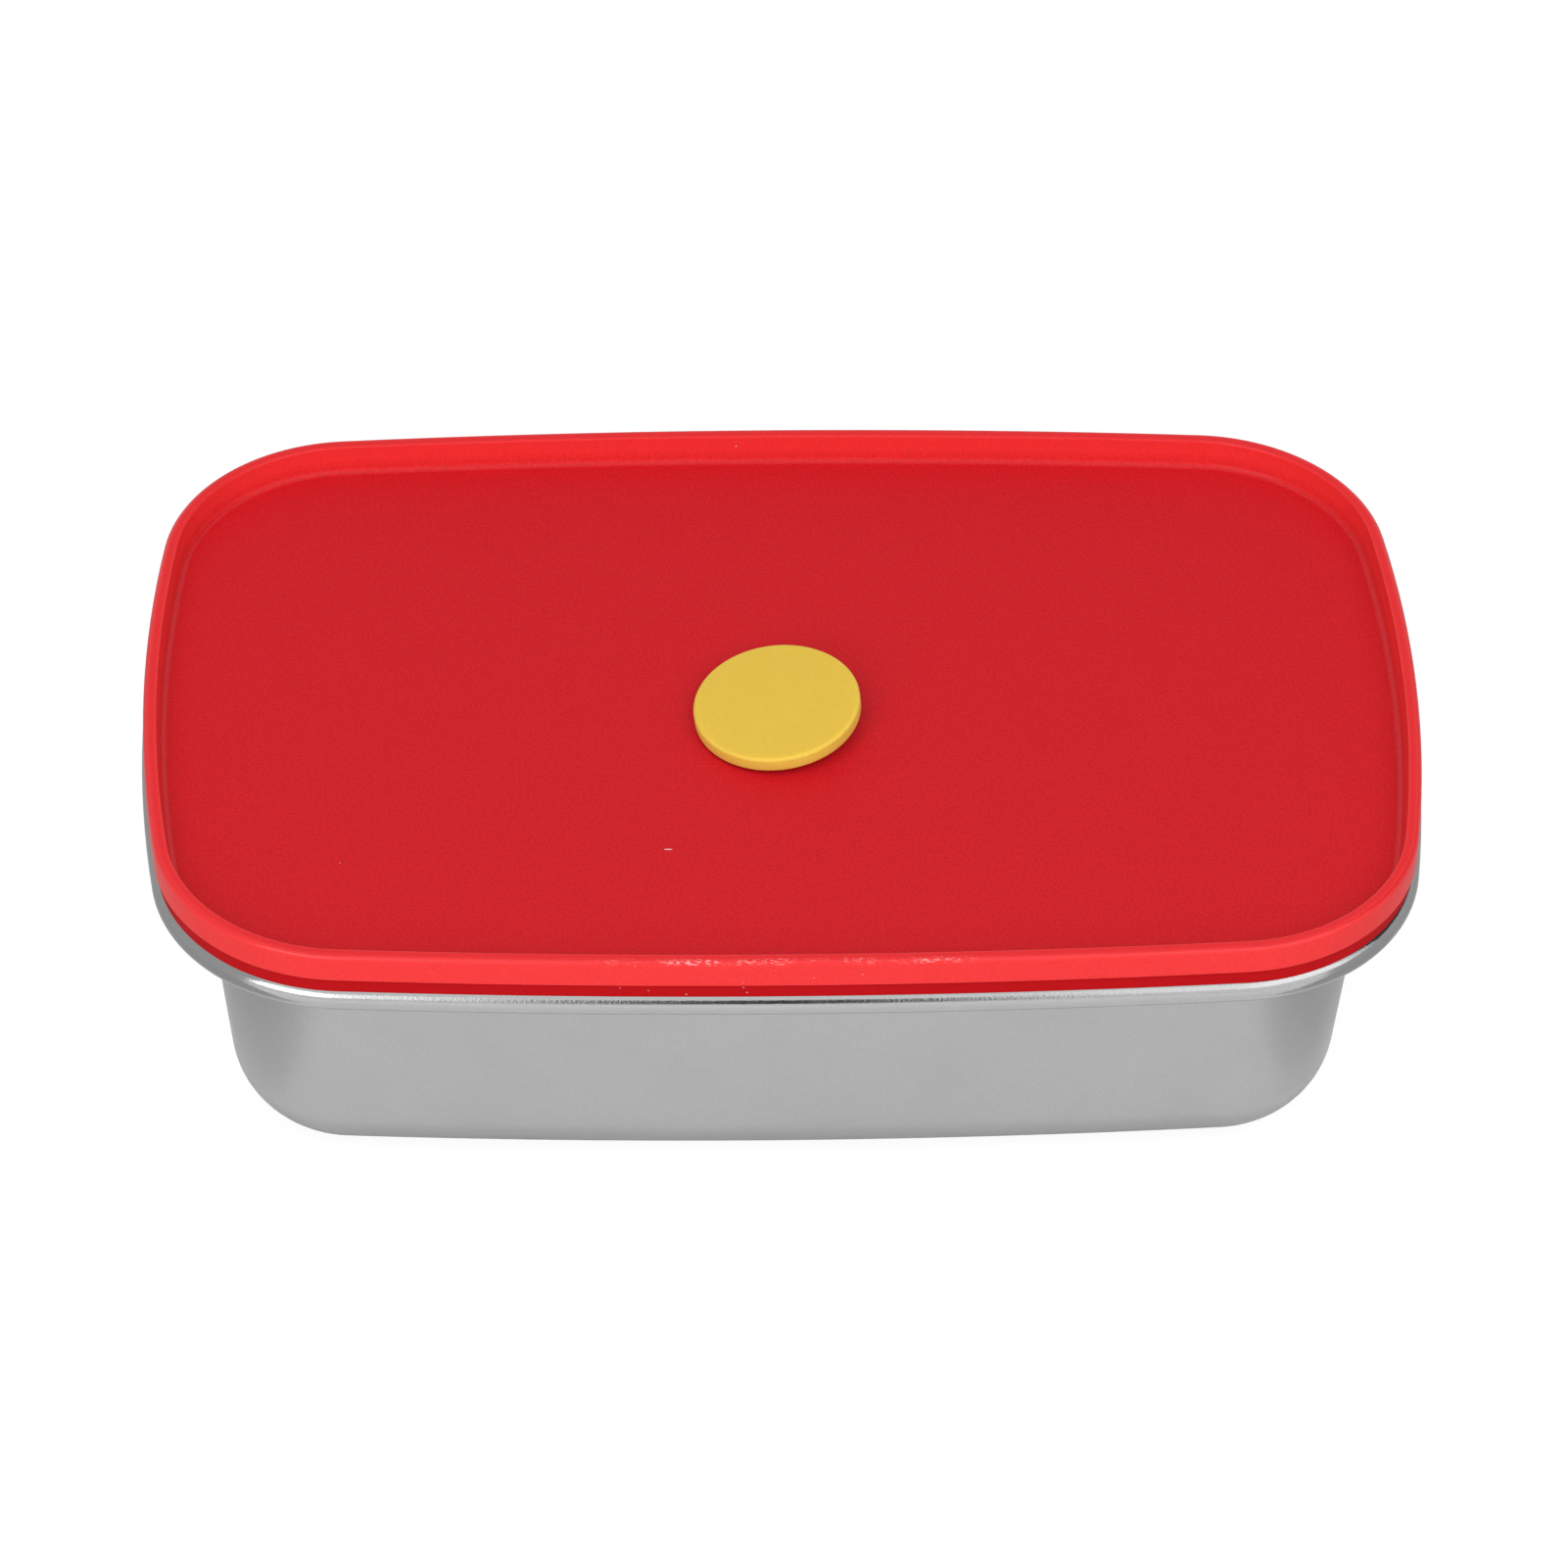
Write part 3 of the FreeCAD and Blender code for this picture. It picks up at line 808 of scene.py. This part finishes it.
def soft_rubber(name, tint, share, edge=None):
    """Matte silicone with a fine skin, a slow mottle, specks of dust and, if given, an edge painted paler as
    light on the cap's rim.

    The edge is a point and a direction of the piece's axis, the radius of the edge and its painted lighter
    colour.
    """
    material, nodes, shader, place = new_material(name)
    links = nodes.tree.links
    grain = group_node(nodes, grain_group(), {
        "Vector": place, "Grain Size": 0.3 * MM, "Mottle Size": 5.0 * MM})
    darker = rgba([channel * 0.8 for channel in tint])
    shade = rgba(tint)
    if edge:
        # Painted light: the rim is painted paler towards the cap's edge
        point, axis, radius, pale = edge
        spoke = nodes.add("ShaderNodeVectorMath", {0: place, 1: point}, operation="SUBTRACT")
        across = nodes.add("ShaderNodeVectorMath", {0: spoke.outputs["Vector"], 1: axis},
                           operation="CROSS_PRODUCT")
        away = nodes.add("ShaderNodeVectorMath", {0: across.outputs["Vector"]}, operation="LENGTH")
        away = away.outputs["Value"]
        shade = nodes.mix(nodes.ramp(away, radius - 0.4 * MM, radius - 0.05 * MM), shade, rgba(pale))
    shade = nodes.mix(nodes.ramp(grain.outputs["Mottle"], 0.35, 0.7, 0.0, 0.12), shade, darker)
    shade = nodes.mix(nodes.ramp(grain.outputs["Height"], 0.65, 0.35, 0.0, 0.4), shade, darker)
    dust = group_node(nodes, dust_group(), {
        "Vector": place, "Spacing": 3.0 * MM, "Speck Radius": 0.12 * MM, "Share": share})
    shade = nodes.mix(nodes.math("MULTIPLY", dust.outputs["Mask"], 0.35), shade,
                      rgba([channel * 0.55 for channel in tint]))
    links.new(shade, shader.inputs["Base Color"])
    rough = nodes.ramp(grain.outputs["Height"], 0.3, 0.7, 0.52, 0.62)
    links.new(rough, shader.inputs["Roughness"])
    bump = nodes.add("ShaderNodeBump", {
        "Height": grain.outputs["Height"],
        "Strength": 0.3,
        "Distance": 0.04 * MM,
    })
    links.new(bump.outputs["Normal"], shader.inputs["Normal"])
    shader.inputs["Specular IOR Level"].default_value = 0.3
    shader.inputs["Subsurface Weight"].default_value = 0.7
    shader.inputs["Subsurface Radius"].default_value = (1.0, 0.8, 0.3)
    shader.inputs["Subsurface Scale"].default_value = 2.5 * MM
    return material


def place_piece(piece, body, node):
    """Set a finished piece on its body, in place of its plain solid."""
    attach(piece, body)
    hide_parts(node)


class LUNCHBOX_OT_container_body(bpy.types.Operator):
    """Build the drawn steel body"""
    bl_idname = "lunchbox.container_body"
    bl_label = "Steel body"

    def execute(self, context):
        settings = context.scene.lunch_box
        body = settings.body
        flange_under = body.height - body.sheet
        wall_foot = body.flange_width + math.tan(body.wall_draft) * flange_under
        base_tangent = body.base_radius * math.tan((math.pi / 2.0 - body.wall_draft) / 2.0)
        floor_inset = wall_foot + base_tangent + body.floor_margin
        curl = body.rim_radius - body.sheet
        bead_low = body.height - 2.0 * body.rim_radius + body.sheet
        path = [
            (floor_inset, 0.0, 0.0),
            (wall_foot, 0.0, body.base_radius),
            (body.flange_width, flange_under, body.shoulder_radius),
            (body.sheet, flange_under, curl),
            (body.sheet, bead_low, curl),
            (2.0 * body.rim_radius - body.sheet, bead_low, 0.0),
        ]
        points = rounded_path(sheet_corners(path, body.sheet))
        piece = ring("steel_body", points, False, satin_steel(settings.finish, body), settings.outline)
        close_plates(piece)
        place_piece(piece, "container", "container_body")
        return {"FINISHED"}


class LUNCHBOX_OT_lid(bpy.types.Operator):
    """Build the lid with its lip, panel, foot, neck and vent hole"""
    bl_idname = "lunchbox.lid"
    bl_label = "Lid"

    def execute(self, context):
        settings = context.scene.lunch_box
        body = settings.body
        lid = settings.lid
        seal = settings.seal

        def neck_face(height):
            return wall_inside(body, height) + lid.neck_gap

        def groove_back(height):
            return neck_face(height) + lid.groove_depth

        def over_rim(inset):
            across = body.rim_radius - inset
            return seat - body.rim_radius + math.sqrt(body.rim_radius ** 2 - across ** 2)

        lip_inside = lid.inset + lid.lip_width
        lip_low = lid.top - lid.lip_height
        seat = body.height + lid.seat_gap
        panel_top = lid.top - lid.recess_depth
        panel_under = panel_top - lid.panel
        recess_foot = lip_inside + lid.recess_depth * math.tan(lid.recess_draft)
        foot_face = recess_foot - lid.foot_wall
        foot_middle = (foot_face + body.rim_radius) / 2.0
        neck_back = groove_back(lid.neck_end) + lid.groove_wall
        plate_inset = neck_back + 2.0 * lid.recess_radius
        corners = [
            (plate_inset, panel_top, 0.0),
            (recess_foot, panel_top, lid.recess_radius),
            (lip_inside, lid.top - lid.lip_fall, lid.inner_edge),
            (lid.inset, lid.top, lid.lip_edge),
            (lid.inset, lip_low, lid.low_edge),
            (foot_face, lip_low, lid.low_edge),
            (foot_face, over_rim(foot_face), 0.0),
            (foot_middle, over_rim(foot_middle), 0.0),
            (body.rim_radius, seat, 0.0),
            (neck_face(seat), seat, lid.low_edge),
            (neck_face(seal.high), seal.high, 0.0),
            (groove_back(seal.high), seal.high, 0.0),
            (groove_back(seal.low), seal.low, 0.0),
            (neck_face(seal.low), seal.low, 0.0),
            (neck_face(lid.neck_end), lid.neck_end, lid.neck_edge),
            (neck_back, lid.neck_end, lid.neck_edge),
            (neck_back, panel_under, lid.recess_radius),
            (plate_inset, panel_under, 0.0),
        ]
        material = lid_plastic(settings.finish, lid)
        piece = ring("lid_moulding", rounded_path(corners), False, material, settings.outline)
        close_plates(piece, Vector((0.0, -lid.vent_forward, 0.0)), lid.vent_radius)
        place_piece(piece, "lid", "lid")
        return {"FINISHED"}


class LUNCHBOX_OT_seal_ring(bpy.types.Operator):
    """Build the sealing ring with its two soft ribs"""
    bl_idname = "lunchbox.seal_ring"
    bl_label = "Sealing ring"

    def execute(self, context):
        settings = context.scene.lunch_box
        body = settings.body
        lid = settings.lid
        seal = settings.seal
        middle = (seal.low + seal.high) / 2.0
        third = (seal.high - seal.low) / 3.0

        def back(height):
            return wall_inside(body, height) + lid.neck_gap + lid.groove_depth

        def rib(height):
            return wall_inside(body, height) + seal.gap

        corners = [
            (back(seal.low), seal.low, seal.edge),
            (back(seal.high), seal.high, seal.edge),
            (rib(seal.high), seal.high, seal.edge),
            (rib(middle + third / 2.0), middle + third / 2.0, seal.edge),
            (rib(middle) + seal.waist, middle, seal.edge),
            (rib(middle - third / 2.0), middle - third / 2.0, seal.edge),
            (rib(seal.low), seal.low, seal.edge),
        ]
        material = soft_rubber("Pale seal silicone", settings.finish.seal_white, 0.1)
        piece = ring("seal_band", rounded_path(corners, closed=True), True, material, settings.outline)
        work = bmesh.new()
        work.from_mesh(piece.data)
        finish_work(work, piece)
        place_piece(piece, "lid", "seal_ring")
        return {"FINISHED"}


class LUNCHBOX_OT_vent_plug(bpy.types.Operator):
    """Build the vent plug as it leans in its hole"""
    bl_idname = "lunchbox.vent_plug"
    bl_label = "Vent plug"

    def execute(self, context):
        settings = context.scene.lunch_box
        lid = settings.lid
        plug = settings.plug
        panel_top = lid.top - lid.recess_depth
        half_panel = lid.panel / 2.0
        edge_dip = (plug.cap_radius - plug.cap_edge) * math.sin(plug.lean)
        cap_under = (half_panel + plug.hover + plug.cap_edge + edge_dip) / math.cos(plug.lean) - plug.cap_edge
        cap_top = cap_under + plug.cap_thickness
        barb_rise = plug.barb_radius * math.sin(plug.lean)
        barb_top = -(half_panel + plug.barb_drop + barb_rise) / math.cos(plug.lean)
        barb_end = barb_top - plug.barb_length
        corners = [
            (0.0, cap_top, 0.0),
            (plug.cap_radius, cap_top, plug.cap_edge),
            (plug.cap_radius, cap_under, plug.cap_edge),
            (plug.stem_radius, cap_under, plug.cap_edge),
            (plug.stem_radius, barb_top, 0.0),
            (plug.barb_radius, barb_top, 0.3 * MM),
            (plug.barb_tip, barb_end, plug.cap_edge),
            (0.0, barb_end, 0.0),
        ]
        work = bmesh.new()
        points = [work.verts.new((point.x, 0.0, point.y)) for point in rounded_path(corners)]
        chain = [work.edges.new(pair) for pair in zip(points, points[1:])]
        bmesh.ops.spin(work, geom=points + chain, cent=(0.0, 0.0, 0.0), axis=(0.0, 0.0, 1.0),
                       angle=2.0 * math.pi, steps=plug.steps, use_merge=True)
        bmesh.ops.remove_doubles(work, verts=work.verts, dist=0.001 * MM)
        leaning = Matrix.Rotation(plug.lean_turn, 4, "Z") @ Matrix.Rotation(-plug.lean, 4, "Y")
        middle = Matrix.Translation((-plug.aside, -lid.vent_forward, panel_top - half_panel))
        work.transform(middle @ leaning)
        for face in work.faces:
            face.smooth = True
        piece = bpy.data.objects.new("vent_plug_soft", bpy.data.meshes.new("vent_plug_soft"))
        context.scene.collection.objects.link(piece)
        finish_work(work, piece)
        # Painted light: the cap's rim is painted paler, for the light on its side
        edge = (middle.translation, plug_axis, plug.cap_radius, settings.finish.plug_lit_edge)
        material = soft_rubber("Yellow plug silicone", settings.finish.plug_yellow, 0.2, edge)
        piece.data.materials.append(material)
        place_piece(piece, "vent_plug", "vent_plug")
        return {"FINISHED"}


def look(camera_object, place, back, roll):
    """Stand an object at a place with its -Z away from back, rolled about that line."""
    forward = -back
    right = forward.cross(Vector((0.0, 0.0, 1.0))).normalized()
    up = right.cross(forward)
    turned_right = right * math.cos(roll) + up * math.sin(roll)
    turned_up = up * math.cos(roll) - right * math.sin(roll)
    axes = Matrix((turned_right, turned_up, back)).transposed().to_4x4()
    camera_object.matrix_world = Matrix.Translation(place) @ axes


def direction(azimuth, elevation):
    """Unit vector from the box towards a turn and height; azimuth 0 is the front."""
    level = math.cos(elevation)
    return Vector((math.sin(azimuth) * level, -math.cos(azimuth) * level, math.sin(elevation)))


def background_share(nodes, seen, mirrored):
    """Share of the plain background: seen by the camera or through glass, mirrored in a reflection."""
    path = nodes.add("ShaderNodeLightPath").outputs
    direct = nodes.math("MAXIMUM", path["Is Camera Ray"], path["Is Transmission Ray"])
    direct = nodes.math("MULTIPLY", direct, seen)
    return nodes.math("MAXIMUM", direct, nodes.math("MULTIPLY", path["Is Glossy Ray"], mirrored))


def add_lamp(name, towards, target, distance, width, height, level):
    """A rectangular soft lamp of a given brightness, which the steel shows as a card instead."""
    light = bpy.data.lights.new(name, "AREA")
    light.shape = "RECTANGLE"
    light.size = width
    light.size_y = height
    light.energy = level * math.pi * width * height
    lamp = bpy.data.objects.new(name, light)
    bpy.context.scene.collection.objects.link(lamp)
    lamp.visible_glossy = False
    look(lamp, target + towards * distance, towards, 0.0)


def upright_corners(wall, front, low, high):
    """Corners of a card that stands beside the box."""
    return [(wall, front, low), (wall, CARD_BACK, low), (wall, CARD_BACK, high), (wall, front, high)]


def add_card(name, corners, near_level, far_level, fade=CARD_FADE):
    """A card that only the steel shows; its brightness changes between two distances aside."""
    mesh = bpy.data.meshes.new(name)
    mesh.from_pydata(corners, [], [(0, 1, 2, 3)])
    card = bpy.data.objects.new(name, mesh)
    bpy.context.scene.collection.objects.link(card)
    card.visible_camera = False
    card.visible_diffuse = False
    card.visible_transmission = False
    card.visible_shadow = False
    material = bpy.data.materials.new(name)
    nodes = empty_nodes(material)
    place = nodes.add("ShaderNodeTexCoord").outputs["Object"]
    across = nodes.math("ABSOLUTE", nodes.add("ShaderNodeSeparateXYZ", {"Vector": place}).outputs["X"])
    level = nodes.ramp(across, *fade, near_level, far_level)
    glow = nodes.add("ShaderNodeEmission", {"Strength": level})
    nodes.add("ShaderNodeOutputMaterial", {"Surface": glow.outputs[0]})
    mesh.materials.append(material)


class LUNCHBOX_OT_stage(bpy.types.Operator):
    """Set up the camera, the white floor, the lamps and the light from all round"""
    bl_idname = "lunchbox.stage"
    bl_label = "Stage"

    def execute(self, context):
        scene = context.scene
        stage = scene.lunch_box.stage
        target = Vector(stage.target)

        camera = bpy.data.objects.new("Camera", bpy.data.cameras.new("Camera"))
        scene.collection.objects.link(camera)
        camera.data.sensor_width = 36.0
        camera.data.lens = stage.focal_mm
        back = direction(stage.azimuth, stage.elevation)
        look(camera, target + back * stage.distance, back, stage.roll)
        scene.camera = camera

        floor_mesh = bpy.data.meshes.new("Floor")
        work = bmesh.new()
        bmesh.ops.create_circle(work, cap_ends=True, radius=stage.floor_radius, segments=96)
        bmesh.ops.translate(work, verts=work.verts, vec=(0.0, 0.0, -stage.floor_drop))
        work.to_mesh(floor_mesh)
        work.free()
        floor = bpy.data.objects.new("Floor", floor_mesh)
        scene.collection.objects.link(floor)
        floor_mesh.materials.append(self.floor_white(stage))

        for name, turn, rise, width, height, level in (
            ("Top lamp", -8.0, 66.0, 1.2, 0.8, stage.top_level),
            ("Left lamp", -28.0, 32.0, 0.8, 0.8, stage.left_level),
            ("Right lamp", 42.0, 42.0, 1.2, 0.7, stage.right_level),
        ):
            towards = direction(math.radians(turn), math.radians(rise))
            add_lamp(name, towards, target, stage.lamp_distance, width, height, level)
        self.add_cards(stage, target)

        world = bpy.data.worlds.new("Soft studio")
        nodes = empty_nodes(world)
        level = nodes.ramp(background_share(nodes, 1.0, 1.0), 0.0, 1.0, stage.sky, 1.0)
        sky = nodes.add("ShaderNodeBackground", {"Color": (1.0, 1.0, 1.0, 1.0), "Strength": level})
        nodes.add("ShaderNodeOutputWorld", {"Surface": sky.outputs["Background"]})
        scene.world = world
        scene.view_settings.view_transform = "Standard"
        return {"FINISHED"}

    def add_cards(self, stage, target):
        """A dark card below the camera, bright ones at the lamps and grey ones at the box's ends."""
        for name, left, right, low, high, near_level, far_level in (
            ("Camera card", -4.0, 6.5, 11.0, 41.0, 0.0, 0.0),
            ("Left glow", -54.0, -8.0, 18.0, 45.0, 1.0, stage.left_glow),
            ("Right glow", 9.0, 75.0, 24.0, 58.0, 1.2, stage.right_glow),
        ):
            spots = ((left, low), (right, low), (right, high), (left, high))
            corners = []
            for turn, rise in spots:
                towards = direction(math.radians(turn), math.radians(rise))
                corners.append(target + towards * stage.distance)
            add_card(name, corners, near_level, far_level, GLOW_FADE)
        for name, side, top in (("Left card", -1.0, CARD_HIGH), ("Right card", 1.0, 0.24)):
            start = side * CARD_START
            wall = side * CARD_WALL
            corners = [
                (start, -CARD_START, 0.0),
                (start, CARD_BACK, 0.0),
                (wall, CARD_BACK, 0.0),
                (wall, CARD_FRONT, 0.0),
            ]
            add_card(name, corners, CARD_NEAR_LEVEL, stage.floor_card)
            corners = upright_corners(wall, CARD_FRONT, 0.0, top)
            add_card(name + " upright", corners, stage.side_card, stage.side_card)
        corners = upright_corners(wall, DARK_CARD_FRONT, top, CARD_HIGH)
        add_card("Right card dark", corners, stage.dark_card, stage.dark_card)

    def floor_white(self, stage):
        """White floor that keeps the box's shadow."""
        material = bpy.data.materials.new("White floor")
        nodes = empty_nodes(material)
        matte = nodes.add("ShaderNodeBsdfDiffuse", {"Color": (*[stage.floor_white] * 3, 1.0)})
        glow = nodes.add("ShaderNodeEmission", {"Strength": FLOOR_GLOW_STRENGTH})
        share = background_share(nodes, stage.floor_glow, stage.floor_mirrored)
        both = nodes.add("ShaderNodeMixShader", {0: share, 1: matte.outputs[0], 2: glow.outputs[0]})
        nodes.add("ShaderNodeOutputMaterial", {"Surface": both.outputs[0]})
        return material


class LUNCHBOX_PT_panel(bpy.types.Panel):
    """Sizes, colours and build steps of the lunch box"""
    bl_idname = "LUNCHBOX_PT_panel"
    bl_label = "Lunch box"
    bl_space_type = "VIEW_3D"
    bl_region_type = "UI"
    bl_category = "Lunch box"

    def draw(self, context):
        settings = context.scene.lunch_box
        for step in STEPS:
            self.layout.operator(step.bl_idname)
        for label in ("outline", "body", "lid", "seal", "plug", "finish", "stage"):
            group = getattr(settings, label)
            box = self.layout.box()
            box.label(text=label.capitalize())
            for key in group.__annotations__:
                box.prop(group, key)


STEPS = (
    LUNCHBOX_OT_container_body,
    LUNCHBOX_OT_lid,
    LUNCHBOX_OT_seal_ring,
    LUNCHBOX_OT_vent_plug,
    LUNCHBOX_OT_stage,
)

CLASSES = (
    OutlineSizes,
    BodySizes,
    LidSizes,
    SealSizes,
    PlugSizes,
    FinishColours,
    StageSettings,
    LunchBoxSettings,
    *STEPS,
    LUNCHBOX_PT_panel,
)


def register():
    """Register the classes and the scene's settings."""
    for item in CLASSES:
        bpy.utils.register_class(item)
    bpy.types.Scene.lunch_box = PointerProperty(
        type=LunchBoxSettings, name="Lunch box", description="Settings of the lunch box")


def unregister():
    """Undo register."""
    del bpy.types.Scene.lunch_box
    for item in reversed(CLASSES):
        bpy.utils.unregister_class(item)


def main():
    """Build every piece and the stage."""
    register()
    bpy.ops.lunchbox.container_body()
    bpy.ops.lunchbox.lid()
    bpy.ops.lunchbox.seal_ring()
    bpy.ops.lunchbox.vent_plug()
    bpy.ops.lunchbox.stage()


if __name__ == "__main__":
    main()
